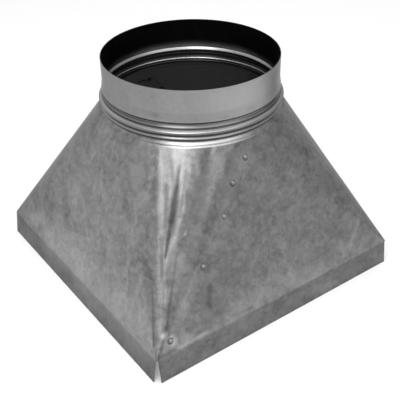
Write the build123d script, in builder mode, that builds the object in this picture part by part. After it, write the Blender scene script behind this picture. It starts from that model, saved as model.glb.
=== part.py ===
# Square-to-round sheet-metal duct transition.
# Two identical folded body halves are spot-welded along two slanting lap seams, and
# a rolled and beaded collar sits over the round neck that the halves form.
# Millimetres, +Z up. The origin is on the collar's axis, level with the square end's edge.

from build123d import *
from math import atan2, cos, degrees, hypot, radians, sin, sqrt
import os

os.makedirs("parts", exist_ok=True)

# Sheet metal
sheet = 0.7  # thickness of the galvanised sheet

# Square end
base_length = 302.0  # across the lower fold, along X
base_width = 302.0  # across the lower fold, along Y
lip_height = 26.0  # turned-down lip below the lower fold
lip_flare = 3.4  # how far each lip's edge stands outside its fold
corner_radius = 2.0  # small round where the corner bends meet the fold
notch_mouth = 7.7  # width of the corner notch at the lip's edge
notch_margin = 0.2  # how much wider the notch is than the corner at the fold

# Folded body
body_height = 156.6  # from the lower fold to the neck's edge
bends_per_corner = 8  # flat strips that carry each corner round
flat_top_angle = 2.0  # angle of the neck that each flat side takes up, in degrees

# Lap seams and their spot welds
lap_width = 14.0  # how far each tab reaches past its seam
lap_joggle = 1.5  # strip of the tab under its own half
lap_foot_rise = 8.0  # from the lower fold to the tab's lower end
lap_head_drop = 14.0  # from the neck's edge to its upper end
weld_inset = 6.0  # from the seam to the line of welds
weld_radius = 2.0  # foot of a raised weld mark
weld_crown_radius = 1.0  # its flat top
weld_rise = 0.4
weld_shares = (0.083, 0.39, 0.613, 0.773, 0.881)  # of the way up the seam

# Turned-up neck
neck_ledge = 4.65  # from the upright tube out to the neck's edge
ledge_flat = 0.9  # level strip between that edge and the turn
tube_reach = 1.4  # how far the tube stands up inside the collar's foot

# Collar: radial sizes from the spigot's outside, heights from the foot up
spigot_radius = 88.9  # outside of the straight slip-on end
foot_rise = 1.8  # the foot stands this far outside the spigot
stop_bead_rise = 1.4  # small lower bead, out from the foot
bead_rise = 5.3  # crest of the main bead, before it is rounded
crease_rise = 0.3  # narrow crease above the main bead
ridge_rise = 1.0  # small ridge between the crease and the groove
groove_depth = 0.75
shoulder_rise = 1.2  # the wall swells by this at its foot
foot_gap = 1.15  # between the turn of the neck and the collar's lower edge
stop_bead_step = 2.0
waist_step = 2.2  # narrow place between the two beads
bead_step = 3.7
crease_step = 2.6
ridge_step = 1.5
groove_step = 2.4
groove_floor = 1.5  # straight bottom of the groove
shoulder_step = 2.9
swell_length = 7.7
spigot_length = 23.0
seat_clearance = 0.05  # between the collar's foot and the neck tube
stop_bead_round = 0.8  # outside rounds of the rolled forms
waist_round = 0.8
bead_round = 1.5
crease_round = 0.5
ridge_round = 0.9
groove_round = 0.8
shoulder_round = 0.9
swell_round = 8.0

# Radii of the neck, which the collar's foot slips over
foot_radius = spigot_radius + foot_rise
tube_radius = foot_radius - sheet - seat_clearance
neck_radius = tube_radius + neck_ledge
turn_radius = neck_ledge - ledge_flat

# Heights above the lip's edge
neck_height = lip_height + body_height
turn_height = neck_height + turn_radius
foot_height = turn_height + foot_gap
stop_bead_height = foot_height + stop_bead_step
waist_height = stop_bead_height + waist_step
bead_height = waist_height + bead_step
crease_height = bead_height + crease_step
ridge_height = crease_height + ridge_step
groove_height = ridge_height + groove_step
groove_top_height = groove_height + groove_floor
shoulder_height = groove_top_height + shoulder_step
spigot_foot_height = shoulder_height + swell_length
rim_height = spigot_foot_height + spigot_length

# Sheet as a level plane cuts it, the strips of a corner, and the slant of the lips
side_slope = hypot(base_width / 2 - neck_radius, body_height) / body_height
wall = sheet * side_slope
strip_angle = (90.0 - flat_top_angle) / bends_per_corner
ledge_reach = (neck_radius - wall + neck_radius * cos(radians(strip_angle / 2))) / 2
lip_taper = degrees(atan2(lip_flare, lip_height))
notch_root = corner_radius * sqrt(2) + notch_margin


def corner_signs():
    """The four corners, counter-clockwise from the one towards +X and +Y."""
    return ((1, 1), (-1, 1), (-1, -1), (1, -1))


def level_section(height, half_length, half_width, radius):
    """The duct's section at one height: each corner is carried round in short chords."""
    points = []
    for quarter, (sign_x, sign_y) in enumerate(corner_signs()):
        for bend in range(bends_per_corner + 1):
            angle = radians(90.0 * quarter + flat_top_angle / 2 + strip_angle * bend)
            x = sign_x * (half_length - radius) + radius * cos(angle)
            y = sign_y * (half_width - radius) + radius * sin(angle)
            points.append((x, y))
    with BuildSketch(Plane.XY.offset(height)) as section:
        with BuildLine():
            Polyline(*points, close=True)
        make_face()
    return section.sketch


# The seam runs from the front left corner of the fold to the middle of the neck's front
seam_angle = radians(270.0 - flat_top_angle / 2)
seam_foot = Vector(
    -(base_length / 2 - corner_radius) + corner_radius * cos(seam_angle),
    -(base_width / 2 - corner_radius) + corner_radius * sin(seam_angle),
    lip_height,
)
seam_head = Vector(neck_radius * cos(seam_angle), neck_radius * sin(seam_angle), neck_height)
seam_line = seam_head - seam_foot
front_flat = Plane(origin=seam_foot, x_dir=(1, 0, 0), z_dir=Vector(1, 0, 0).cross(seam_line))
front_seam = Plane(origin=seam_foot, z_dir=seam_line.cross(front_flat.z_dir))
seam_rise = seam_line.dot(front_flat.y_dir)
seam_spread = seam_line.length / seam_rise


def on_front_flat(share, inset):
    """A point of the front flat: a share of the way up, an inset from the seam."""
    return (seam_line.X * share + inset * seam_spread, seam_rise * share)


# Lips: a flared skirt below the fold, notched at the four corners
with BuildPart() as lips:
    for inset, step in ((0.0, Mode.ADD), (wall, Mode.SUBTRACT)):
        with BuildSketch() as lip_edge:
            flare = lip_flare - inset
            Rectangle(base_length + 2 * flare, base_width + 2 * flare)
        extrude(amount=lip_height, taper=lip_taper, mode=step)
    for sign_x, sign_y in corner_signs():
        corner = Plane(
            origin=(sign_x * base_length / 2, sign_y * base_width / 2, 0),
            x_dir=(-sign_y, sign_x, 0),
            z_dir=(sign_x, sign_y, 0),
        )
        with BuildSketch(corner) as notch:
            with BuildLine():
                Polyline(
                    (-notch_mouth / 2, 0),
                    (notch_mouth / 2, 0),
                    (notch_root / 2, lip_height),
                    (-notch_root / 2, lip_height),
                    close=True,
                )
            make_face()
        extrude(amount=notch_mouth, both=True, mode=Mode.SUBTRACT)
    corner_to_corner = Plane(origin=(0, 0, 0), z_dir=(base_width, -base_length, 0))
    split(bisect_by=corner_to_corner, keep=Keep.TOP)

# Body: four flat sides and four bent corners that rise to the turned-up round neck
with BuildPart() as shell:
    for inset, step in ((0.0, Mode.ADD), (wall, Mode.SUBTRACT)):
        radius = corner_radius - inset
        neck = neck_radius - inset
        fold = level_section(lip_height, base_length / 2 - inset, base_width / 2 - inset, radius)
        top = level_section(neck_height, neck, neck, neck)
        loft(sections=[fold, top], ruled=True, mode=step)
    with BuildSketch(Plane.XZ) as neck_profile:
        with BuildLine():
            tube = Line((tube_radius, foot_height + tube_reach), (tube_radius, turn_height))
            turn = JernArc(start=tube @ 1, tangent=tube % 1, radius=turn_radius, arc_size=90)
            Line(turn @ 1, (ledge_reach, neck_height))
            offset(amount=sheet, side=Side.RIGHT)
        make_face()
    revolve(axis=Axis.Z)

with BuildPart() as front_part:
    add(shell.part)
    split(bisect_by=Plane.XZ, keep=Keep.TOP)
    split(bisect_by=front_seam, keep=Keep.TOP)

rear_seam = Plane(
    origin=(-front_seam.origin.X, -front_seam.origin.Y, front_seam.origin.Z),
    z_dir=(-front_seam.z_dir.X, -front_seam.z_dir.Y, front_seam.z_dir.Z),
)
with BuildPart() as rear_part:
    add(shell.part)
    split(bisect_by=Plane.XZ, keep=Keep.BOTTOM)
    split(bisect_by=rear_seam, keep=Keep.BOTTOM)

# The tab that each half tucks behind the other half's flat side
lap_foot_share = lap_foot_rise / body_height
lap_head_share = 1.0 - lap_head_drop / body_height
with BuildPart() as tab:
    with BuildSketch(front_flat.offset(-sheet)) as tab_outline:
        with BuildLine():
            Polyline(
                on_front_flat(lap_foot_share, -lap_joggle),
                on_front_flat(lap_foot_share, lap_width),
                on_front_flat(lap_head_share, lap_width),
                on_front_flat(lap_head_share, -lap_joggle),
                close=True,
            )
        make_face()
    extrude(amount=-sheet)

with BuildPart() as right_half:
    add(lips.part)
    add(front_part.part)
    add(rear_part.part)
    add(tab.part, rotation=(0, 0, 180))
    with Locations(front_flat):
        with Locations(*[on_front_flat(share, weld_inset) for share in weld_shares]):
            Cone(weld_radius, weld_crown_radius, weld_rise, align=(Align.CENTER, Align.CENTER, Align.MIN))

with BuildPart() as left_half:
    add(right_half.part, rotation=(0, 0, 180))

# Collar: one strip, joined into a ring, with its groove and beads rolled in
with BuildPart() as collar:
    with BuildSketch(Plane.XZ) as collar_profile:
        with BuildLine():
            FilletPolyline(
                (spigot_radius, rim_height),
                (spigot_radius, spigot_foot_height),
                (spigot_radius + shoulder_rise, shoulder_height),
                (spigot_radius - groove_depth, groove_top_height),
                (spigot_radius - groove_depth, groove_height),
                (spigot_radius + ridge_rise, ridge_height),
                (spigot_radius + crease_rise, crease_height),
                (spigot_radius + bead_rise, bead_height),
                (foot_radius, waist_height),
                (foot_radius + stop_bead_rise, stop_bead_height),
                (foot_radius, foot_height),
                radius=[
                    swell_round,
                    shoulder_round,
                    groove_round,
                    groove_round,
                    ridge_round,
                    crease_round,
                    bead_round,
                    waist_round,
                    stop_bead_round,
                ],
            )
            offset(amount=sheet, side=Side.RIGHT)
        make_face()
    revolve(axis=Axis.Z)

right_half.part.label = "body_half_right"
export_step(right_half.part, "parts/body_half_right.step")

left_half.part.label = "body_half_left"
export_step(left_half.part, "parts/body_half_left.step")

collar.part.label = "round_collar"
export_step(collar.part, "parts/round_collar.step")
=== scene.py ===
import math

import bpy
import numpy as np
from mathutils import Matrix, Vector


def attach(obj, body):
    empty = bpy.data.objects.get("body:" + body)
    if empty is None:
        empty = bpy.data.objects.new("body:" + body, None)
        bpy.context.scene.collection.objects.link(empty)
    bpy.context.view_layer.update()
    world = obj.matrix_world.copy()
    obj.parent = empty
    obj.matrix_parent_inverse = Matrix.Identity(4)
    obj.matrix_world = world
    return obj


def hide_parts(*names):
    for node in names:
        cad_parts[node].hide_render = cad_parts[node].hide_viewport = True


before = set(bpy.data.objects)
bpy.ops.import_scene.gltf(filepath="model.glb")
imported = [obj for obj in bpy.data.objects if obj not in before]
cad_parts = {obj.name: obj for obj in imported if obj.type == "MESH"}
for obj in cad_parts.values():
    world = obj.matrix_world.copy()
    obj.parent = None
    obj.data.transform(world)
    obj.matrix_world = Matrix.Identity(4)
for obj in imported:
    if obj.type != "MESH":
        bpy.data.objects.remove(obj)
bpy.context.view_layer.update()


# Body halves: two identical pieces of thin galvanised sheet, each with two flat sides,
# two corners carried round by press-brake bends, two flared lips and half of the neck.
# They lap along two slanting seams and are spot-welded there.

# Lengths in millimetres, heights above the lips' lower edge, angles in degrees
MILLIMETRE = 0.001
SHEET = 0.7
FOLD_HALF = 151.0  # from the middle to a side, at the lower fold
CORNER_ROUND = 2.0
LIP_HEIGHT = 26.0
LIP_FLARE = 3.4  # how far a lip's edge stands outside its fold
LIP_END = 148.9  # from the middle of a lip to its notch, along the edge
NECK_HEIGHT = 182.6  # where the body meets the slanted fillet of the neck
NECK_RADIUS = 94.6
NECK_LEAN = math.radians(65)  # of that fillet, away from upright
NECK_TURN = 5.6  # round between the fillet and the upright tube
TUBE_RADIUS = 89.95
TUBE_TOP = 188.9
BENDS = 8  # flat strips that carry a corner round
SIDE_TOP_ANGLE = 2.0  # what a flat side takes up of the neck
STRIP_ANGLE = (90.0 - SIDE_TOP_ANGLE) / BENDS
ROUND_FROM = 0.78  # share of the height where the strips start to become round
BEND_SOFTNESS = 3.0  # how far from its line a bend is eased
BEND_SHARE = 0.42  # and at most this share of the narrower strip beside it
FOLD_SOFTNESS = 2.2
LEDGE_SOFTNESS = 0.85
TAB_SHARES = (0.051, 0.911)  # where the tab starts and ends, as shares of the way up the seam
TAB_INSETS = (-1.5, 14.0)  # its two edges, from the seam
TAB_GAP = 0.05
WAVE_HEIGHT = 0.35  # slight waves of the thin sheet
WAVE_LENGTHS = (150.0, 90.0, 60.0)
WAVE_SEED = 11
WAVE_FADE = (30.0, 25.0)  # above the fold and below the neck's edge, where they die out
DENT_FADE = (4.0, 8.0)

# Rows and columns of the mesh, and how much they crowd towards the bends
SIDE_COLUMNS = 110
STRIP_COLUMNS = 10
LIP_ROWS = 12
BODY_ROWS = 84
TURN_ROWS = 8
LEDGE_SHARES = (0.35, 0.7, 1.0)
TAB_ROWS = 12
COLUMN_CROWDING = 0.6
LIP_CROWDING = 0.5
BODY_CROWDING = 0.45
SHARP_ANGLE = math.radians(38)

# Spot welds: share of the way up the seam, and distance from it
WELDS = ((0.080, 3.2), (0.397, 7.0), (0.62, 7.9), (0.784, 2.6), (0.899, 4.8))
WELD_RINGS = (
    # radius, height, how much painted shade and how much painted highlight: a pale crown in a dark ring
    (3.6, -0.35, 0.25, 0.0),
    (3.4, 0.04, 0.35, 0.0),
    (2.7, 0.10, 0.8, 0.0),
    (1.9, 0.60, 0.7, 0.7),
    (1.0, 0.85, 0.3, 1.0),
)
WELD_POINTS = 20
WELD_GLINT = math.radians(70)  # where a mark is brightest, round from the way along the fold
WELD_SHADE_CUT = 0.75  # how much less painted shade it has there

# The inside: painted shade, nearly none at the first height and dark at the second
INSIDE_HEIGHTS = (35.0, 102.0)
INSIDE_SHADE = (0.1, 0.95)
WELD_INSIDE_SHADE = 0.98


def eased_steps(count, ends):
    """Numbers from 0 to 1 that crowd towards both ends."""
    plain = np.linspace(0.0, 1.0, count + 1)
    return (1.0 - ends) * plain + ends * (0.5 - 0.5 * np.cos(np.pi * plain))


def unit(vectors):
    """Vectors of length 1."""
    return vectors / np.maximum(np.linalg.norm(vectors, axis=-1, keepdims=True), 1e-9)


def fold_point(angle):
    """Where the bend that ends at this angle of the neck meets the lower fold."""
    spin = math.radians(angle)
    centre = FOLD_HALF - CORNER_ROUND
    sign_x = math.copysign(1.0, math.cos(spin))
    sign_y = math.copysign(1.0, math.sin(spin))
    x = sign_x * centre + CORNER_ROUND * math.cos(spin)
    y = sign_y * centre + CORNER_ROUND * math.sin(spin)
    return np.array([x, y, LIP_HEIGHT])


def neck_point(angle):
    """A point of the neck's edge."""
    spin = math.radians(angle)
    return np.array([NECK_RADIUS * math.cos(spin), NECK_RADIUS * math.sin(spin), NECK_HEIGHT])


def faded(height, below, above):
    """1 on the body, falling to 0 at its lower fold and at the neck's edge over these lengths."""
    rising = np.clip((height - LIP_HEIGHT) / below, 0.0, 1.0)
    return rising * np.clip((NECK_HEIGHT - height) / above, 0.0, 1.0)


def soften(start_way, end_way, distance, softness):
    """How far a bend is eased off its sharp line, at a distance from that line."""
    reach = np.clip(softness - distance, 0.0, None)
    return (reach ** 2 / (4.0 * softness))[..., None] * (end_way - start_way)


def slow_waves(points, lengths, seed):
    """The slight waves of thin sheet, about -1 to 1."""
    draw = np.random.default_rng(seed)
    total = np.zeros(points.shape[:-1])
    for length in lengths:
        for _ in range(3):
            heading = unit(draw.normal(size=3))
            total += np.cos(points @ heading * 2.0 * np.pi / length + draw.uniform(0.0, 6.28))
    return total / (3 * len(lengths))


def swelling(distance, radius):
    """A round swelling of height 1 that ends smoothly at its radius."""
    share = np.clip(distance / radius, 0.0, 1.0)
    return (1.0 - share ** 2) ** 2


def streaks(points, lines):
    """Soft streaks: two ends, a half-width at each end and a strength. The strongest counts."""
    total = np.zeros(points.shape[:-1])
    for start, end, first, last, strength in lines:
        origin = np.array(start)
        run = np.array(end) - origin
        share = np.clip((points - origin) @ run / (run @ run), 0.0, 1.0)
        distance = np.linalg.norm(points - origin - share[..., None] * run, axis=-1)
        streak = strength * swelling(distance, first + share * (last - first))
        total = np.where(np.abs(streak) > np.abs(total), streak, total)
    return total


def half_grid(turn):
    """Outer surface of one half as rows of points, lip edge first, and what each cell is."""
    ring = [turn + 270.0 - SIDE_TOP_ANGLE / 2 - STRIP_ANGLE]
    for corner in range(2):
        ring.append(turn + 270.0 + 90.0 * corner - SIDE_TOP_ANGLE / 2)
        first = turn + 270.0 + 90.0 * corner + SIDE_TOP_ANGLE / 2
        ring += [first + STRIP_ANGLE * bend for bend in range(BENDS)]
    ring.append(turn + 450.0 - SIDE_TOP_ANGLE / 2)
    ring.append(turn + 450.0 + SIDE_TOP_ANGLE / 2)
    foots = np.array([fold_point(angle) for angle in ring])
    heads = np.array([neck_point(angle) for angle in ring])
    rise = eased_steps(BODY_ROWS, BODY_CROWDING)
    lines = foots[:, None] + rise[None, :, None] * (heads - foots)[:, None]
    runs = lines[1:] - lines[:-1]
    widths = np.linalg.norm(runs, axis=-1)
    ways = unit(runs)
    blend = np.clip((rise - ROUND_FROM) / (1.0 - ROUND_FROM), 0.0, 1.0)[:, None, None] ** 2

    body = []
    angles = []
    sides = []
    for panel in range(1, len(ring) - 2):
        is_side = ring[panel + 1] - ring[panel] < STRIP_ANGLE / 2
        share = eased_steps(SIDE_COLUMNS if is_side else STRIP_COLUMNS, COLUMN_CROWDING)
        spin = np.radians(ring[panel] + share * (ring[panel + 1] - ring[panel]))
        height = np.full(spin.shape, NECK_HEIGHT)
        arc = np.stack([NECK_RADIUS * np.cos(spin), NECK_RADIUS * np.sin(spin), height], axis=-1)
        chord = heads[panel] + share[:, None] * (heads[panel + 1] - heads[panel])
        flat = lines[panel][:, None] + share[None, :, None] * runs[panel][:, None]
        for end in (0, 1):
            softness = np.minimum(widths[panel - 1 + end], widths[panel + end])
            softness = np.minimum(BEND_SOFTNESS, BEND_SHARE * softness)[:, None]
            distance = (share if end == 0 else 1.0 - share)[None] * widths[panel][:, None]
            eased = soften(ways[panel - 1 + end][:, None], ways[panel + end][:, None], distance, softness)
            flat = flat + (1.0 - blend) * eased
        flat = flat + blend * (arc - chord)
        first = 0 if panel == 1 else 1
        body.append(flat[:, first:])
        angles.append(np.degrees(spin)[first:])
        sides.append(np.full(share.size - 1, is_side))
    body = np.concatenate(body, axis=1)
    angles = np.concatenate(angles)
    sides = np.concatenate(sides)
    return body, angles, sides, rise


def with_lips_and_neck(body, angles, rise):
    """Adds the lips' rows below the fold and the turned-up neck's rows above its edge."""
    spin = np.radians(angles)
    facing = np.radians(np.round(angles / 90.0) * 90.0)
    out = np.stack([np.cos(facing), np.sin(facing), np.zeros(facing.shape)], axis=-1)
    along = np.stack([-np.sin(facing), np.cos(facing), np.zeros(facing.shape)], axis=-1)
    drop = eased_steps(LIP_ROWS, LIP_CROWDING)[:0:-1]
    trim = LIP_END / (FOLD_HALF - CORNER_ROUND)
    fold = body[0]
    offset = (fold * along).sum(axis=-1)
    lips = []
    for share in drop:
        place = out * (FOLD_HALF + LIP_FLARE * share) + along * (offset * trim)[:, None]
        place[:, 2] = LIP_HEIGHT * (1.0 - share)
        lips.append(place)
    lips = np.array(lips)

    lip_way = unit(fold - lips[0])
    body_way = unit(body[-1] - fold)
    for row, share in enumerate(drop):
        distance = np.full(angles.shape, share * math.hypot(LIP_HEIGHT, LIP_FLARE))
        lips[row] += soften(lip_way, body_way, distance, FOLD_SOFTNESS)
    is_lip = np.abs(offset) <= FOLD_HALF - CORNER_ROUND + 0.01
    length = np.linalg.norm(body[-1] - fold, axis=-1)
    inward = np.stack([-np.cos(spin), -np.sin(spin), np.zeros(spin.shape)], axis=-1)
    ledge_way = inward * math.sin(NECK_LEAN) + np.array([0.0, 0.0, math.cos(NECK_LEAN)])
    eased = body.copy()
    for row, share in enumerate(rise):
        lower = soften(lip_way, body_way, share * length, FOLD_SOFTNESS)
        eased[row] += np.where(is_lip[:, None], lower, 0.0)
        eased[row] += soften(body_way, ledge_way, (1.0 - share) * length, LEDGE_SOFTNESS)

    start = TUBE_RADIUS + NECK_TURN * (1.0 - math.cos(NECK_LEAN))
    ledge = NECK_RADIUS - start
    climb = ledge / math.tan(NECK_LEAN)
    centre = NECK_HEIGHT + climb + NECK_TURN * math.sin(NECK_LEAN)
    rows = []
    for share in LEDGE_SHARES:
        rows.append((NECK_RADIUS - ledge * share, NECK_HEIGHT + climb * share, ledge * share))
    for step in range(1, TURN_ROWS + 1):
        lean = NECK_LEAN * (1.0 - step / TURN_ROWS)
        radius = TUBE_RADIUS + NECK_TURN * (1.0 - math.cos(lean))
        rows.append((radius, centre - NECK_TURN * math.sin(lean), LEDGE_SOFTNESS))
    rows.append((TUBE_RADIUS, TUBE_TOP, LEDGE_SOFTNESS))
    neck = []
    for radius, height, distance in rows:
        level = np.full(spin.shape, height)
        place = np.stack([radius * np.cos(spin), radius * np.sin(spin), level], axis=-1)
        place += soften(body_way, ledge_way, np.full(spin.shape, distance), LEDGE_SOFTNESS)
        neck.append(place)
    return np.concatenate([lips, eased, np.array(neck)]), len(lips)


def grid_normals(points, cells):
    """Outward normals of a grid's points, from the cells that are in use."""
    across = points[1:, 1:] - points[:-1, :-1]
    against = points[1:, :-1] - points[:-1, 1:]
    facing = np.cross(across, against) * cells[..., None]
    total = np.zeros(points.shape)
    for row in (0, 1):
        for column in (0, 1):
            rows = slice(row, row + facing.shape[0])
            total[rows, column:column + facing.shape[1]] += facing
    return unit(total)


def on_seam_side(turn, share, inset, depth):
    """A point beside a half's seam: a share of the way up, an inset and a depth below the face.

    With it come the ways along the fold, up the face and out of it.
    """
    seam_angle = turn + 270.0 - SIDE_TOP_ANGLE / 2
    foot = fold_point(seam_angle)
    head = neck_point(seam_angle)
    along = unit(fold_point(seam_angle + SIDE_TOP_ANGLE) - foot)
    facing = unit(np.cross(along, head - foot))
    climb = unit(np.cross(facing, along))
    seam = head - foot
    spread = np.linalg.norm(seam) / (seam @ climb)
    return foot + seam * share + along * inset * spread - facing * depth, along, climb, facing


def weld_dome(turn, share, inset, inside):
    """A small raised weld mark with a dark ring round it, a painted highlight on one side and painted
    shade on the other: points, faces and marks.
    """
    depth = 2 * SHEET + TAB_GAP if inside else 0.0
    centre, along, climb, facing = on_seam_side(turn, share, inset, depth)
    centre = centre + streaks(centre, DENTS) * facing
    if inside:
        climb, facing = -climb, -facing
    points = []
    marks = {"painted_highlight": [], "painted_shade": []}
    for radius, height, shade_level, bright in WELD_RINGS:
        for spin in np.linspace(0.0, 2.0 * np.pi, WELD_POINTS, endpoint=False):
            spoke = math.cos(spin) * along + math.sin(spin) * climb
            points.append(centre + radius * spoke + height * facing)
            # A painted highlight on one side of the mark and painted shade on the other.
            lit = 0.5 + 0.5 * math.cos(spin - WELD_GLINT)
            marks["painted_highlight"].append(0.0 if inside else bright * lit ** 2)
            marks["painted_shade"].append(WELD_INSIDE_SHADE if inside else shade_level * (1.0 - WELD_SHADE_CUT * lit))
    faces = []
    for ring in range(len(WELD_RINGS) - 1):
        lower, upper = WELD_POINTS * ring, WELD_POINTS * (ring + 1)
        for step in range(WELD_POINTS):
            onward = (step + 1) % WELD_POINTS
            faces.append((lower + step, lower + onward, upper + onward, upper + step))
    faces.append(tuple(range(len(points) - WELD_POINTS, len(points))))
    faces.append(tuple(range(WELD_POINTS))[::-1])
    return points, faces, marks


def inside_painted_shade(height):
    """Painted shade inside: nearly none by the lips and dark towards the neck."""
    return np.interp(height, INSIDE_HEIGHTS, INSIDE_SHADE)


def lap_tab(turn):
    """The flat tab behind the other half's side: points, faces and marks."""
    points = []
    faces = [(3, 2, 1, 0)]
    upper, lower = SHEET + TAB_GAP, 2 * SHEET + TAB_GAP
    for row, share in enumerate(np.linspace(*TAB_SHARES, TAB_ROWS + 1)):
        for end, depth in ((0, upper), (1, upper), (1, lower), (0, lower)):
            points.append(on_seam_side(turn, share, TAB_INSETS[end], depth)[0])
        if row < TAB_ROWS:
            for side in range(4):
                here, onward = 4 * row + side, 4 * row + (side + 1) % 4
                faces.append((here, onward, onward + 4, here + 4))
    faces.append(tuple(range(4 * TAB_ROWS, 4 * TAB_ROWS + 4)))
    # Painted shade, as on the inside of the sheet.
    painted_shade = [inside_painted_shade(point[2]) for point in points]
    return points, faces, {"painted_highlight": [0.0] * len(points), "painted_shade": painted_shade}


def sheet_mesh(name, outer, inner, cells, marks, extras):
    """A closed mesh of thin sheet from the grids of its two faces; marks go to its points."""
    rows, columns = outer.shape[:2]
    index = np.arange(rows * columns).reshape(rows, columns)
    corners = [index[:-1, :-1], index[:-1, 1:], index[1:, 1:], index[1:, :-1]]
    quads = np.stack([corner[cells] for corner in corners], axis=-1)
    count = rows * columns
    edges = np.concatenate([quads[:, [i, (i + 1) % 4]] for i in range(4)])
    keys = np.sort(edges, axis=1) @ np.array([count, 1])
    _, place, uses = np.unique(keys, return_index=True, return_counts=True)
    rim = edges[place[uses == 1]]
    walls = np.stack([rim[:, 1], rim[:, 0], rim[:, 0] + count, rim[:, 1] + count], axis=-1)
    faces = np.concatenate([quads, quads[:, ::-1] + count, walls])
    points = np.concatenate([outer.reshape(-1, 3), inner.reshape(-1, 3)])
    used, faces = np.unique(faces, return_inverse=True)
    points = (points[used] * MILLIMETRE).tolist()
    faces = faces.reshape(-1, 4).tolist()
    layers = {label: list(np.concatenate([face.reshape(-1) for face in values])[used])
              for label, values in marks.items()}
    for more_points, more_faces, more_marks in extras:
        start = len(points)
        points += [list(point * MILLIMETRE) for point in more_points]
        faces += [[start + corner for corner in face] for face in more_faces]
        for label, values in more_marks.items():
            layers[label] += values
    mesh = bpy.data.meshes.new(name)
    mesh.from_pydata(points, [], faces)
    for label, values in layers.items():
        layer = mesh.attributes.new(label, "FLOAT", "POINT")
        layer.data.foreach_set("value", values)
    mesh.validate()
    mesh.shade_smooth()
    mesh.set_sharp_from_angle(angle=SHARP_ANGLE)
    return mesh


# The dents that forming and handling left at the front corner and on the sides, with
# painted highlights and painted shade there, each a soft streak, and the painted highlight
# and painted shade that run round the neck's fillet.
DENTS = (
    # two ends, half-width at each, and how far the sheet stands out (or in, below zero)
    ((-69.0, -79.5, 167.5), (-83.9, -94.4, 140.0), 2.0, 8.0, -0.42),
    ((-83.9, -94.4, 140.0), (-110.0, -111.0, 101.0), 8.0, 2.0, -0.45),
    ((-134.0, -146.0, 40.5), (-132.5, -145.5, 42.0), 9.0, 8.0, 1.1),
    ((-42.0, -90.0, 176.0), (-75.0, -111.0, 126.0), 10.0, 12.0, -0.5),
)
# Painted highlights and lighter patches on the body.
PAINTED_HIGHLIGHTS = (
    # two ends, half-width at each, and how strong the painted highlight is
    ((-126.7, -150.2, 28.8), (-93.0, -150.2, 28.8), 2.6, 2.6, 0.28),
    ((-93.0, -150.2, 28.8), (-26.0, -150.4, 28.0), 2.6, 2.0, 0.05),
    ((-110.0, -147.5, 37.0), (120.0, -147.5, 37.0), 13.0, 13.0, 0.06),
    ((-148.0, -110.0, 34.0), (-148.0, 60.0, 34.0), 44.0, 38.0, 0.17),
    ((-38.0, -93.0, 173.0), (-46.0, -99.0, 159.0), 9.0, 8.0, 0.10),
    ((-38.2, -88.8, 180.5), (-41.0, -90.0, 177.0), 3.5, 3.0, 0.45),
    ((44.0, -153.0, 12.0), (72.0, -153.6, 7.0), 8.0, 7.0, 0.12),
    ((-42.0, -146.0, 44.0), (-27.0, -147.5, 36.0), 11.0, 12.0, 0.08),
    ((-10.0, -142.0, 51.0), (-2.0, -147.0, 38.0), 10.0, 9.0, 0.08),
    ((70.0, -145.6, 41.0), (88.0, -144.0, 45.0), 9.0, 9.0, 0.09),
    ((-133.0, -148.0, 34.4), (-128.6, -142.8, 48.0), 3.0, 3.5, 0.30),
    ((-132.5, -145.8, 40.2), (-131.5, -145.4, 41.6), 5.0, 5.0, 0.62),
    ((-75.5, -58.6, 180.8), (-93.1, -82.1, 142.7), 2.1, 2.2, 0.12),
    ((-93.1, -82.1, 142.7), (-112.6, -108.1, 100.7), 2.2, 2.0, 0.07),
    ((-61.2, -72.9, 181.3), (-71.0, -83.5, 162.1), 3.0, 2.0, 0.12),
    ((-71.0, -83.5, 162.1), (-78.4, -91.7, 147.4), 1.6, 1.4, 0.10),
    ((-97.9, -124.9, 92.7), (-114.8, -138.6, 60.0), 18.0, 12.0, 0.22),
    ((117.0, -138.0, 61.0), (98.0, -146.2, 39.5), 3.6, 4.6, 0.13),
    ((-88.0, -110.5, 118.5), (-87.0, -110.0, 119.5), 2.0, 2.0, 0.5),
    ((-8.6, -99.3, 169.4), (-42.0, -109.0, 141.9), 15.0, 13.0, 0.20),
    ((-89.5, -43.9, 174.8), (-118.9, -78.1, 112.0), 17.0, 16.0, 0.15),
    ((-133.1, -136.8, 54.7), (-142.0, -145.5, 37.9), 5.0, 4.0, 0.16),
    ((-76.1, -57.9, 180.7), (-81.9, -65.6, 168.2), 2.4, 2.4, 0.28),
    ((-137.5, -143.5, 43.5), (-129.5, -147.6, 36.0), 6.5, 6.0, 0.52),
    ((-147.0, 112.0, 36.0), (-144.0, 88.0, 46.0), 12.0, 12.0, 0.12),
    ((-55.5, -85.0, 171.5), (-58.5, -91.5, 163.5), 4.0, 4.0, 0.24),
    ((-36.0, -98.0, 166.0), (-43.5, -107.8, 144.5), 6.0, 6.0, 0.20),
    ((-82.5, -47.5, 181.0), (-86.0, -52.0, 172.0), 4.0, 4.0, 0.18),
)
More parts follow.
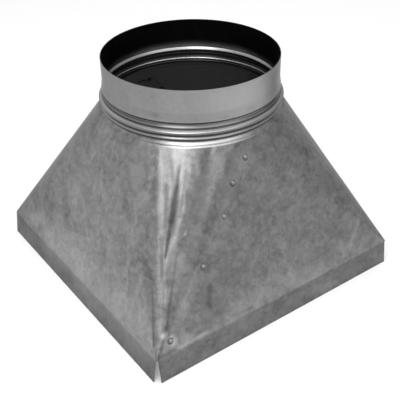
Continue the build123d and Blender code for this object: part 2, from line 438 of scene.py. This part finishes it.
# Painted shade in the corner's creases and on darker stretches of the body.
PAINTED_SHADES = (
    # two ends, half-width at each, and how dark the painted shade is
    ((-112.0, -92.0, 110.0), (-147.0, -141.0, 36.0), 2.4, 2.4, 0.50),
    ((-147.0, -150.5, 28.0), (-129.5, -150.5, 28.2), 3.4, 3.4, 0.45),
    ((-79.8, -55.7, 178.9), (-113.6, -100.8, 105.9), 3.4, 3.2, 0.26),
    ((-77.0, -69.5, 169.0), (-84.1, -79.4, 154.2), 5.0, 4.5, 0.12),
    ((-85.2, -78.4, 154.1), (-98.7, -96.4, 125.0), 4.4, 4.4, 0.50),
    ((-98.7, -96.4, 125.0), (-107.8, -106.9, 106.7), 4.4, 2.5, 0.36),
    ((-154.0, -135.0, 13.0), (-154.0, -60.0, 13.0), 22.0, 22.0, 0.08),
    ((118.0, -142.0, 55.0), (128.0, -134.0, 72.0), 42.0, 36.0, 0.13),
    ((-67.9, -83.9, 164.3), (-77.0, -92.8, 147.4), 3.0, 4.6, 0.44),
    ((-77.0, -92.8, 147.4), (-85.8, -99.9, 132.7), 4.6, 4.0, 0.56),
    ((-85.8, -99.9, 132.7), (-95.2, -106.4, 118.0), 3.6, 1.5, 0.22),
    ((-70.5, -77.4, 168.5), (-77.7, -85.3, 154.7), 1.4, 3.6, 0.40),
    ((-77.7, -85.3, 154.7), (-84.3, -90.4, 143.6), 3.6, 8.0, 0.72),
    ((-84.3, -90.4, 143.6), (-94.5, -97.8, 127.4), 8.0, 9.5, 0.78),
    ((-94.5, -97.8, 127.4), (-111.0, -110.5, 100.0), 9.5, 1.6, 0.62),
    ((-100.1, -114.3, 105.6), (-131.0, -140.1, 52.0), 1.8, 2.2, 0.42),
    ((-131.0, -140.1, 52.0), (-143.6, -147.6, 34.0), 2.0, 2.0, 0.30),
    ((-112.7, -111.2, 98.0), (-130.8, -133.8, 60.0), 1.4, 1.4, 0.28),
    ((-57.3, -86.7, 169.3), (-80.5, -103.5, 132.5), 4.0, 6.0, 0.24),
    ((-88.0, -138.0, 62.0), (-78.0, -141.0, 52.0), 24.0, 26.0, 0.36),
    ((-46.5, -109.6, 140.2), (-45.0, -109.2, 140.4), 3.2, 3.2, 0.35),
    ((-134.0, 80.0, 72.0), (-146.0, 130.0, 36.0), 40.0, 30.0, 0.18),
    ((30.0, -132.0, 85.0), (92.0, -128.0, 92.0), 62.0, 56.0, 0.16),
    ((-70.0, -135.0, 75.0), (-20.0, -125.0, 100.0), 40.0, 52.0, 0.13),
    ((-45.4, -84.6, 180.0), (-63.8, -98.2, 150.4), 10.0, 11.0, 0.42),
    ((-63.8, -98.2, 150.4), (-87.6, -111.4, 117.6), 11.0, 9.0, 0.34),
    ((-87.6, -111.4, 117.6), (-99.3, -114.8, 105.5), 8.0, 6.0, 0.25),
    ((-103.8, -108.6, 108.4), (-117.4, -123.6, 81.5), 9.0, 8.0, 0.30),
    ((-75.1, -136.9, 65.1), (-35.6, -134.1, 72.9), 24.0, 24.0, 0.28),
    ((31.6, -143.7, 46.4), (73.0, -144.9, 43.0), 20.0, 20.0, 0.30),
    ((-109.7, -145.7, 40.6), (-72.5, -145.9, 40.1), 9.0, 8.0, 0.36),
    ((-71.0, -65.0, 180.0), (-74.7, -71.6, 170.6), 5.0, 4.0, 0.25),
    ((-73.5, -70.5, 172.5), (-84.5, -89.5, 145.0), 3.4, 4.4, 0.46),
    ((-73.5, -93.0, 150.5), (-78.5, -101.0, 137.0), 3.0, 3.0, 0.42),
    ((-92.0, -99.0, 129.0), (-96.5, -104.5, 119.5), 3.4, 3.0, 0.62),
    ((-105.5, -98.5, 115.5), (-119.0, -116.8, 86.5), 3.2, 3.0, 0.52),
    ((-106.0, -117.5, 97.0), (-111.5, -124.5, 84.5), 3.0, 3.0, 0.22),
    ((-74.0, -127.5, 90.0), (-77.0, -130.0, 82.0), 7.0, 7.0, 0.36),
    ((-80.0, -136.0, 67.0), (-84.0, -142.0, 51.0), 8.0, 8.0, 0.62),
    ((-104.0, -148.3, 33.5), (-90.0, -148.6, 33.0), 5.0, 5.0, 0.34),
    ((-60.0, -146.5, 39.0), (-58.0, -149.0, 31.0), 8.0, 8.0, 0.20),
    ((-45.0, -129.0, 87.0), (-47.0, -131.0, 82.0), 8.0, 8.0, 0.36),
    ((76.0, -137.0, 66.0), (126.0, -144.5, 45.0), 22.0, 22.0, 0.26),
    ((-125.0, 62.0, 96.0), (-133.0, 48.0, 75.0), 14.0, 14.0, 0.22),
    ((-152.5, 30.0, 14.0), (-152.5, 15.0, 14.0), 12.0, 12.0, 0.20),
)
LIP_SHADE = (
    # height, and how strong the painted shade on the lips is there
    (25.0, 0.38),
    (26.5, 0.0),
)
HIGHLIGHT_BEARINGS = (
    # bearing, and the share of the fillet's painted highlight that shows there
    (190.0, 0.0),
    (205.0, 0.0),
    (218.0, 0.1),
    (230.0, 1.0),
    (256.0, 1.0),
    (275.0, 0.1),
    (295.0, 0.0),
)
HIGHLIGHT_HEIGHTS = (
    # height, and how strong the painted highlight on the fillet is there
    (182.0, 0.0),
    (182.5, 0.9),
    (183.2, 1.0),
    (185.1, 1.0),
    (186.1, 0.0),
)
SHADE_HEIGHTS = (
    # height, and how strong the painted shade on the neck's turn is there
    (185.4, 0.0),
    (186.6, 0.85),
)


def from_table(value, table):
    """A value looked up in a table of pairs, evenly between its rows."""
    given, results = zip(*table)
    return np.interp(value, given, results)


def shaped_half(name, turn):
    """One half's mesh, with the slight waves and dents of formed sheet, and its painted highlights and
    painted shade.
    """
    body, angles, sides, rise = half_grid(turn)
    outer, lip_rows = with_lips_and_neck(body, angles, rise)
    cells = np.ones((outer.shape[0] - 1, outer.shape[1] - 1), dtype=bool)
    cells[:lip_rows] &= sides[None]
    normals = grid_normals(outer, cells)
    height = outer[..., 2]
    shift = WAVE_HEIGHT * faded(height, *WAVE_FADE) * slow_waves(outer, WAVE_LENGTHS, WAVE_SEED)
    shift += faded(height, *DENT_FADE) * streaks(outer, DENTS)
    # Painted highlights and painted shade, as soft streaks.
    painted_highlight = streaks(outer, PAINTED_HIGHLIGHTS)
    painted_shade = streaks(outer, PAINTED_SHADES)
    outer = outer + shift[..., None] * normals
    normals = grid_normals(outer, cells)
    inner = outer - SHEET * normals
    inner[..., 2] = np.maximum(inner[..., 2], 0.0)
    # Painted shade on the lips and the neck's turn, and the painted highlight on the fillet.
    painted_shade += from_table(height, LIP_SHADE)
    highlight_share = from_table(np.mod(angles, 360.0), HIGHLIGHT_BEARINGS)
    painted_highlight += highlight_share * from_table(height, HIGHLIGHT_HEIGHTS)
    painted_shade += from_table(height, SHADE_HEIGHTS)
    # The inner face gets no highlight and the inside's painted shade.
    marks = {
        "painted_highlight": (np.clip(painted_highlight, 0.0, 1.0), np.zeros(painted_highlight.shape)),
        "painted_shade": (np.clip(painted_shade, 0.0, 1.0), inside_painted_shade(height)),
    }
    extras = [lap_tab(turn + 180.0)]
    for share, inset in WELDS:
        extras += [weld_dome(turn, share, inset, False), weld_dome(turn, share, inset, True)]
    return sheet_mesh(name, outer, inner, cells, marks, extras)


def spangle_group():
    """Zinc spangle: flat crystals of slightly different grey that meet at crooked edges."""
    group = bpy.data.node_groups.new("zinc_spangle", "ShaderNodeTree")
    sockets = group.interface
    sockets.new_socket(name="Vector", in_out="INPUT", socket_type="NodeSocketVector")
    sockets.new_socket(name="Crystals per metre", in_out="INPUT", socket_type="NodeSocketFloat")
    sockets.new_socket(name="Tone", in_out="OUTPUT", socket_type="NodeSocketFloat")
    sockets.new_socket(name="Patches", in_out="OUTPUT", socket_type="NodeSocketFloat")
    sockets.new_socket(name="Height", in_out="OUTPUT", socket_type="NodeSocketFloat")
    nodes, links = group.nodes, group.links
    given = nodes.new("NodeGroupInput")
    made = nodes.new("NodeGroupOutput")
    crooked = nodes.new("ShaderNodeTexNoise")
    crooked.inputs["Scale"].default_value = 420.0
    crooked.inputs["Detail"].default_value = 2.0
    links.new(given.outputs["Vector"], crooked.inputs["Vector"])
    shift = nodes.new("ShaderNodeVectorMath")
    shift.operation = "MULTIPLY_ADD"
    shift.inputs[1].default_value = (0.0022, 0.0022, 0.0022)
    links.new(crooked.outputs["Color"], shift.inputs[0])
    links.new(given.outputs["Vector"], shift.inputs[2])
    crystals = nodes.new("ShaderNodeTexVoronoi")
    links.new(shift.outputs["Vector"], crystals.inputs["Vector"])
    links.new(given.outputs["Crystals per metre"], crystals.inputs["Scale"])
    split = nodes.new("ShaderNodeSeparateColor")
    links.new(crystals.outputs["Color"], split.inputs["Color"])
    blotches = nodes.new("ShaderNodeTexNoise")
    blotches.inputs["Scale"].default_value = 115.0
    blotches.inputs["Detail"].default_value = 5.0
    blotches.inputs["Roughness"].default_value = 0.62
    blotches.inputs["Distortion"].default_value = 0.6
    links.new(given.outputs["Vector"], blotches.inputs["Vector"])
    spread = nodes.new("ShaderNodeMapRange")
    spread.inputs["From Min"].default_value = 0.3
    spread.inputs["From Max"].default_value = 0.7
    links.new(blotches.outputs["Fac"], spread.inputs["Value"])
    mix = nodes.new("ShaderNodeMix")
    mix.inputs["Factor"].default_value = 0.72
    links.new(split.outputs["Red"], mix.inputs["A"])
    links.new(spread.outputs["Result"], mix.inputs["B"])
    links.new(mix.outputs["Result"], made.inputs["Tone"])
    broad = nodes.new("ShaderNodeTexNoise")
    broad.inputs["Scale"].default_value = 38.0
    broad.inputs["Detail"].default_value = 4.0
    links.new(given.outputs["Vector"], broad.inputs["Vector"])
    links.new(broad.outputs["Fac"], made.inputs["Patches"])
    links.new(split.outputs["Green"], made.inputs["Height"])
    return group


ZINC_SPANGLE = spangle_group()


def zinc_material(name, dark, light, contrast, crystals, roughness):
    """Galvanised sheet: grey zinc whose tone and gloss change a little from crystal to crystal.

    The mesh's own marks make it darker where shade is painted on it and brighter where highlights are
    painted.
    """
    material = bpy.data.materials.new(name)
    material.use_nodes = True
    nodes, links = material.node_tree.nodes, material.node_tree.links
    surface = nodes["Principled BSDF"]
    surface.inputs["Metallic"].default_value = 1.0
    surface.inputs["Specular Tint"].default_value = (0.62, 0.62, 0.62, 1.0)
    place = nodes.new("ShaderNodeTexCoord")
    spangle = nodes.new("ShaderNodeGroup")
    spangle.node_tree = ZINC_SPANGLE
    spangle.inputs["Crystals per metre"].default_value = crystals
    links.new(place.outputs["Object"], spangle.inputs["Vector"])
    tone = nodes.new("ShaderNodeMath")
    tone.operation = "MULTIPLY_ADD"
    tone.inputs[1].default_value = contrast
    links.new(spangle.outputs["Tone"], tone.inputs[0])
    patches = nodes.new("ShaderNodeMath")
    patches.operation = "MULTIPLY_ADD"
    patches.inputs[1].default_value = contrast
    patches.inputs[2].default_value = 0.5 - contrast
    links.new(spangle.outputs["Patches"], patches.inputs[0])
    links.new(patches.outputs["Value"], tone.inputs[2])
    zinc = nodes.new("ShaderNodeMix")
    zinc.data_type = "RGBA"
    zinc.inputs["A"].default_value = (*dark, 1.0)
    zinc.inputs["B"].default_value = (*light, 1.0)
    links.new(tone.outputs["Value"], zinc.inputs["Factor"])
    # Painted shade: the zinc mixed towards near black where the mesh says so.
    painted_shade = nodes.new("ShaderNodeAttribute")
    painted_shade.attribute_name = "painted_shade"
    grey = nodes.new("ShaderNodeMix")
    grey.data_type = "RGBA"
    grey.inputs["B"].default_value = (0.03, 0.03, 0.03, 1.0)
    links.new(painted_shade.outputs["Fac"], grey.inputs["Factor"])
    links.new(zinc.outputs["Result"], grey.inputs["A"])
    # Painted highlight: the zinc mixed towards pale grey where the mesh says so.
    painted_highlight = nodes.new("ShaderNodeAttribute")
    painted_highlight.attribute_name = "painted_highlight"
    bright = nodes.new("ShaderNodeMix")
    bright.data_type = "RGBA"
    bright.inputs["B"].default_value = (0.60, 0.60, 0.60, 1.0)
    links.new(painted_highlight.outputs["Fac"], bright.inputs["Factor"])
    links.new(grey.outputs["Result"], bright.inputs["A"])
    links.new(bright.outputs["Result"], surface.inputs["Base Color"])
    gloss = nodes.new("ShaderNodeMapRange")
    gloss.inputs["To Min"].default_value = roughness[0]
    gloss.inputs["To Max"].default_value = roughness[1]
    links.new(spangle.outputs["Tone"], gloss.inputs["Value"])
    links.new(gloss.outputs["Result"], surface.inputs["Roughness"])
    relief = nodes.new("ShaderNodeBump")
    relief.inputs["Strength"].default_value = 0.12
    relief.inputs["Distance"].default_value = 0.0004
    links.new(spangle.outputs["Height"], relief.inputs["Height"])
    links.new(relief.outputs["Normal"], surface.inputs["Normal"])
    return material


body_zinc = zinc_material(
    "body_zinc", dark=(0.158, 0.158, 0.159), light=(0.328, 0.328, 0.329),
    contrast=1.0, crystals=300.0, roughness=(0.28, 0.40),
)

for node, turn in (("body_half_right", 0.0), ("body_half_left", 180.0)):
    half = bpy.data.objects.new(node + "_sheet", shaped_half(node + "_sheet", turn))
    bpy.context.scene.collection.objects.link(half)
    half.data.materials.append(body_zinc)
    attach(half, "root")
    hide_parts(node)


# Round collar: one strip of the same sheet, joined into a ring and rolled with a small
# stop bead, a main bead and a groove below its plain slip-on wall. It is slipped over the
# turned-up neck and held by it.

# Lengths in millimetres, heights above the lips' lower edge, bearings in degrees
COLLAR_ROUND_STEPS = 6  # of the mesh, along each rounded turn of the profile
COLLAR_SEGMENTS = 288  # and round the ring
COLLAR_STEP = 2.5  # longest step down the plain wall
COLLAR_FINE_STEP = 0.5  # and down the rolled part, which starts at this height
COLLAR_ROLLED_BELOW = 213.0
COLLAR_TURNS = (
    # radius, height and outside round of each turn of the profile, from the rim down
    (88.9, 237.0, 0.0),
    (88.9, 214.0, 8.0),
    (90.1, 205.2, 0.9),
    (88.15, 202.8, 0.8),
    (88.15, 201.7, 0.8),
    (89.9, 199.5, 0.9),
    (89.2, 198.1, 0.5),
    (94.2, 195.7, 1.5),
    (90.7, 191.2, 0.8),
    (92.1, 189.2, 0.8),
    (90.7, 187.5, 0.0),
)
COLLAR_OUTSIDE = (
    # height, and how strong the painted highlight and the painted shade are on the outside there
    (187.5, 0.0, 0.9),
    (188.4, 0.0, 0.3),
    (189.5, 0.5, 0.0),
    (190.2, 0.2, 0.1),
    (191.2, 0.0, 0.93),
    (192.4, 0.0, 0.15),
    (194.6, 0.0, 0.1),
    (195.8, 0.0, 0.25),
    (196.6, 1.0, 0.0),
    (197.3, 1.0, 0.0),
    (197.7, 0.0, 0.4),
    (198.2, 0.0, 0.9),
    (199.0, 0.0, 0.4),
    (199.8, 0.0, 0.1),
    (200.6, 0.0, 0.3),
    (201.3, 0.0, 0.62),
    (202.4, 0.0, 0.5),
    (203.2, 0.0, 0.2),
    (205.2, 0.0, 0.0),
)
COLLAR_INSIDE = (
    # the same for the inside: painted shade nearly black, with a thin painted highlight line and a
    # painted highlight on the shoulder
    (188.0, 0.0, 0.95),
    (190.8, 0.0, 0.95),
    (191.1, 1.0, 0.0),
    (192.0, 1.0, 0.0),
    (192.3, 0.0, 0.99),
    (202.0, 0.0, 0.97),
    (203.0, 0.2, 0.2),
    (204.2, 0.4, 0.0),
    (207.6, 0.4, 0.0),
    (209.6, 0.0, 0.4),
    (212.5, 0.0, 0.98),
    (237.0, 0.0, 1.0),
)
COLLAR_HIGHLIGHT_BEARINGS = (
    # bearing, and the share of the painted highlight that shows there
    (0.0, 0.5),
    (180.0, 0.5),
    (203.0, 0.3),
    (220.0, 0.8),
    (232.0, 1.0),
    (256.0, 1.0),
    (274.0, 0.5),
    (300.0, 0.3),
    (360.0, 0.5),
)
COLLAR_PLACES = (
    # bearing and height, half-width in degrees and half-height, and how strong the painted highlight and
    # the painted shade are: the wide ones light and shade the tube's sides, the small ones darken spots
    (266.0, 222.0, 34.0, 40.0, 0.24, 0.0),
    (296.0, 222.0, 16.0, 40.0, 0.0, 0.35),
    (200.0, 222.0, 34.0, 40.0, 0.0, 0.10),
    (213.0, 210.5, 5.0, 2.6, 0.0, 0.30),
    (255.0, 207.8, 4.0, 2.0, 0.0, 0.30),
    (272.0, 209.5, 6.0, 2.4, 0.0, 0.16),
)


def rounded_profile(turns, steps):
    """Points of a profile whose turns are rounded, as radius and height."""
    points = [np.array(turns[0][:2])]
    for before, here, after in zip(turns, turns[1:], turns[2:]):
        corner = np.array(here[:2])
        back = unit(np.array(before[:2]) - corner)
        onward = unit(np.array(after[:2]) - corner)
        half = math.acos(float(np.clip(-(back @ onward), -1.0, 1.0))) / 2.0
        cut = here[2] * math.tan(half)
        bisector = unit(back + onward)
        centre = corner + bisector * here[2] / math.cos(half)
        start = corner + back * cut - centre
        end = corner + onward * cut - centre
        for share in np.linspace(0.0, 1.0, steps + 1):
            spoke = unit(start * (1.0 - share) + end * share) * here[2]
            points.append(centre + spoke)
    points.append(np.array(turns[-1][:2]))
    return np.array(points)


def divided(points):
    """The same profile with its straight runs cut short: the rolled part finer than the rest."""
    result = [points[0]]
    for before, after in zip(points, points[1:]):
        step = COLLAR_STEP if before[1] > COLLAR_ROLLED_BELOW else COLLAR_FINE_STEP
        count = max(1, math.ceil(np.linalg.norm(after - before) / step))
        result += [before + (after - before) * part / count for part in range(1, count + 1)]
    return np.array(result)


def collar_mesh(name):
    """The collar's closed mesh of revolution, with its bands of painted highlight and painted shade."""
    outside = divided(rounded_profile(COLLAR_TURNS, COLLAR_ROUND_STEPS))
    ways = unit(np.gradient(outside, axis=0))
    sideways = np.stack([ways[:, 1], -ways[:, 0]], axis=-1)
    inside = outside + SHEET * sideways
    profile = np.concatenate([outside, inside[::-1]])
    spins = np.linspace(0.0, 2.0 * np.pi, COLLAR_SEGMENTS, endpoint=False)
    radius, height = profile[:, 0], profile[:, 1]
    points = np.stack([
        np.cos(spins)[:, None] * radius,
        np.sin(spins)[:, None] * radius,
        np.ones(spins.size)[:, None] * height,
    ], axis=-1)
    size = profile.shape[0]
    faces = []
    for segment in range(COLLAR_SEGMENTS):
        following = (segment + 1) % COLLAR_SEGMENTS
        for step in range(size):
            onward = (step + 1) % size
            faces.append((segment * size + step, segment * size + onward,
                          following * size + onward, following * size + step))
    mesh = bpy.data.meshes.new(name)
    mesh.from_pydata((points.reshape(-1, 3) * MILLIMETRE).tolist(), [], faces)
    is_outside = np.arange(size) < outside.shape[0]
    # Painted highlight and painted shade, from the bands, the bearings and the places.
    for column, label in ((1, "painted_highlight"), (2, "painted_shade")):
        values = []
        for face, bands in ((outside, COLLAR_OUTSIDE), (inside[::-1], COLLAR_INSIDE)):
            table = [(band[0], band[column]) for band in bands]
            values.append(from_table(face[:, 1], table))
        values = np.tile(np.concatenate(values), (COLLAR_SEGMENTS, 1))
        if label == "painted_highlight":
            share = from_table(np.degrees(spins), COLLAR_HIGHLIGHT_BEARINGS)[:, None]
            values *= np.where(is_outside, share, 1.0)
        for bearing, level, half_width, half_height, *strengths in COLLAR_PLACES:
            across = (np.degrees(spins)[:, None] - bearing) / half_width
            upright = (height[None] - level) / half_height
            distance = np.sqrt(across ** 2 + upright ** 2)
            values += strengths[column - 1] * swelling(distance, 1.0) * is_outside
        layer = mesh.attributes.new(label, "FLOAT", "POINT")
        layer.data.foreach_set("value", np.clip(values, 0.0, 1.0).ravel().astype(np.float32))
    mesh.validate()
    mesh.shade_smooth()
    mesh.set_sharp_from_angle(angle=SHARP_ANGLE)
    return mesh


collar_zinc = zinc_material(
    "collar_zinc", dark=(0.213, 0.213, 0.214), light=(0.303, 0.303, 0.304),
    contrast=0.6, crystals=420.0, roughness=(0.26, 0.36),
)
collar = bpy.data.objects.new("round_collar_sheet", collar_mesh("round_collar_sheet"))
bpy.context.scene.collection.objects.link(collar)
collar.data.materials.append(collar_zinc)
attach(collar, "root")
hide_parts("round_collar")


# Floor: a plain pale sheet of paper that the part stands on, wide enough to fill the
# picture. It isn't part of the object. It keeps the part's shadow, and the camera, mirrors
# and glass see it paler than its paper lights the part. Sizes in metres.
FLOOR_HALF = 9.0
PAPER_LIFT = 0.27
floor_mesh = bpy.data.meshes.new("floor")
floor_mesh.from_pydata(
    [(-FLOOR_HALF, -FLOOR_HALF, 0.0), (FLOOR_HALF, -FLOOR_HALF, 0.0),
     (FLOOR_HALF, FLOOR_HALF, 0.0), (-FLOOR_HALF, FLOOR_HALF, 0.0)],
    [], [(0, 1, 2, 3)],
)
floor = bpy.data.objects.new("floor", floor_mesh)
bpy.context.scene.collection.objects.link(floor)
floor_paper = bpy.data.materials.new("floor_paper")
floor_paper.use_nodes = True
paper = floor_paper.node_tree
paper_surface = paper.nodes["Principled BSDF"]
paper_surface.inputs["Roughness"].default_value = 0.9
paper_grain = paper.nodes.new("ShaderNodeTexNoise")
paper_grain.inputs["Scale"].default_value = 60.0
paper_colour = paper.nodes.new("ShaderNodeMapRange")
paper_colour.inputs["To Min"].default_value = 0.735
paper_colour.inputs["To Max"].default_value = 0.755
paper.links.new(paper_grain.outputs["Fac"], paper_colour.inputs["Value"])
paper.links.new(paper_colour.outputs["Result"], paper_surface.inputs["Base Color"])
paper_surface.inputs["Emission Color"].default_value = (1.0, 1.0, 1.0, 1.0)
paper_seen = paper.nodes.new("ShaderNodeLightPath")
seen_at_all = paper_seen.outputs["Is Camera Ray"]
for ray in ("Is Glossy Ray", "Is Transmission Ray"):
    either = paper.nodes.new("ShaderNodeMath")
    either.operation = "MAXIMUM"
    paper.links.new(seen_at_all, either.inputs[0])
    paper.links.new(paper_seen.outputs[ray], either.inputs[1])
    seen_at_all = either.outputs["Value"]
paper_lift = paper.nodes.new("ShaderNodeMath")
paper_lift.operation = "MULTIPLY"
paper_lift.inputs[1].default_value = PAPER_LIFT
paper.links.new(seen_at_all, paper_lift.inputs[0])
paper.links.new(paper_lift.outputs["Value"], paper_surface.inputs["Emission Strength"])
floor_mesh.materials.append(floor_paper)


# Light: a soft white surround, stronger overhead and behind the part at the left, a bright
# box high up at the front left and a wide weak one at the front right. Sizes and places in
# metres.
BRIGHT_SIDE = (-0.616, 0.788, 0.0)
LAMP_TARGET = (0.0, 0.0, 0.15)
world = bpy.data.worlds.new("studio")
bpy.context.scene.world = world
world.use_nodes = True
sky = world.node_tree
surround = sky.nodes["Background"]
surround.inputs["Color"].default_value = (1.0, 1.0, 1.0, 1.0)
sky_way = sky.nodes.new("ShaderNodeTexCoord")
to_side = sky.nodes.new("ShaderNodeVectorMath")
to_side.operation = "DOT_PRODUCT"
to_side.inputs[1].default_value = BRIGHT_SIDE
sky.links.new(sky_way.outputs["Generated"], to_side.inputs[0])
sky_level = sky.nodes.new("ShaderNodeMapRange")
sky_level.inputs["From Min"].default_value = -1.0
sky_level.inputs["From Max"].default_value = 1.0
sky_level.inputs["To Min"].default_value = 0.50
sky_level.inputs["To Max"].default_value = 0.78
sky.links.new(to_side.outputs["Value"], sky_level.inputs["Value"])
sky_height = sky.nodes.new("ShaderNodeSeparateXYZ")
sky.links.new(sky_way.outputs["Generated"], sky_height.inputs["Vector"])
sky_top = sky.nodes.new("ShaderNodeMapRange")
sky_top.interpolation_type = "SMOOTHSTEP"
sky_top.inputs["From Min"].default_value = 0.72
sky_top.inputs["From Max"].default_value = 0.90
sky_top.inputs["To Min"].default_value = 0.0
sky_top.inputs["To Max"].default_value = 0.40
sky.links.new(sky_height.outputs["Z"], sky_top.inputs["Value"])
sky_sum = sky.nodes.new("ShaderNodeMath")
sky.links.new(sky_level.outputs["Result"], sky_sum.inputs[0])
sky.links.new(sky_top.outputs["Result"], sky_sum.inputs[1])
sky.links.new(sky_sum.outputs["Value"], surround.inputs["Strength"])


def soft_box(name, place, size, radiance):
    """A flat lamp of the width, height and radiance given, turned to the part."""
    lamp = bpy.data.lights.new(name, "AREA")
    lamp.shape = "RECTANGLE"
    lamp.size, lamp.size_y = size
    lamp.energy = radiance * math.pi * size[0] * size[1]
    box = bpy.data.objects.new(name, lamp)
    bpy.context.scene.collection.objects.link(box)
    way = Vector(LAMP_TARGET) - Vector(place)
    turned = way.to_track_quat("-Z", "Y").to_matrix().to_4x4()
    box.matrix_world = Matrix.Translation(Vector(place)) @ turned


soft_box("key_box", place=(-0.686, -0.463, 1.401), size=(0.62, 1.50), radiance=3.6)
soft_box("fill_box", place=(0.037, -1.060, 1.210), size=(1.40, 1.00), radiance=0.85)


# Camera: the photograph's view, fitted to the part's corners, rim and beads. It looks past
# a point of the part's axis, and its place is shifted across and up from there. In metres.
CAMERA_AZIMUTH = math.radians(-35.5128)
CAMERA_ELEVATION = math.radians(33.9121)
CAMERA_ROLL = math.radians(-1.0488)
CAMERA_DISTANCE = 0.8049432
CAMERA_ACROSS = 0.0074426
CAMERA_UP = -0.03665
CAMERA_TARGET = Vector((0.0, 0.0, 0.105))
LENS_MILLIMETRES = 66.971
SENSOR_MILLIMETRES = 36.0
back = Vector((
    math.sin(CAMERA_AZIMUTH) * math.cos(CAMERA_ELEVATION),
    -math.cos(CAMERA_AZIMUTH) * math.cos(CAMERA_ELEVATION),
    math.sin(CAMERA_ELEVATION),
))
level = Vector((math.cos(CAMERA_AZIMUTH), math.sin(CAMERA_AZIMUTH), 0.0))
upright = back.cross(level)
right = math.cos(CAMERA_ROLL) * level + math.sin(CAMERA_ROLL) * upright
up = -math.sin(CAMERA_ROLL) * level + math.cos(CAMERA_ROLL) * upright
eye = CAMERA_TARGET + back * CAMERA_DISTANCE + right * CAMERA_ACROSS + up * CAMERA_UP
camera_data = bpy.data.cameras.new("photo_view")
camera_data.lens = LENS_MILLIMETRES
camera_data.sensor_width = SENSOR_MILLIMETRES
camera = bpy.data.objects.new("photo_view", camera_data)
bpy.context.scene.collection.objects.link(camera)
camera.matrix_world = Matrix((
    (right.x, up.x, back.x, eye.x),
    (right.y, up.y, back.y, eye.y),
    (right.z, up.z, back.z, eye.z),
    (0.0, 0.0, 0.0, 1.0),
))
bpy.context.scene.camera = camera
bpy.context.scene.view_settings.view_transform = "Standard"
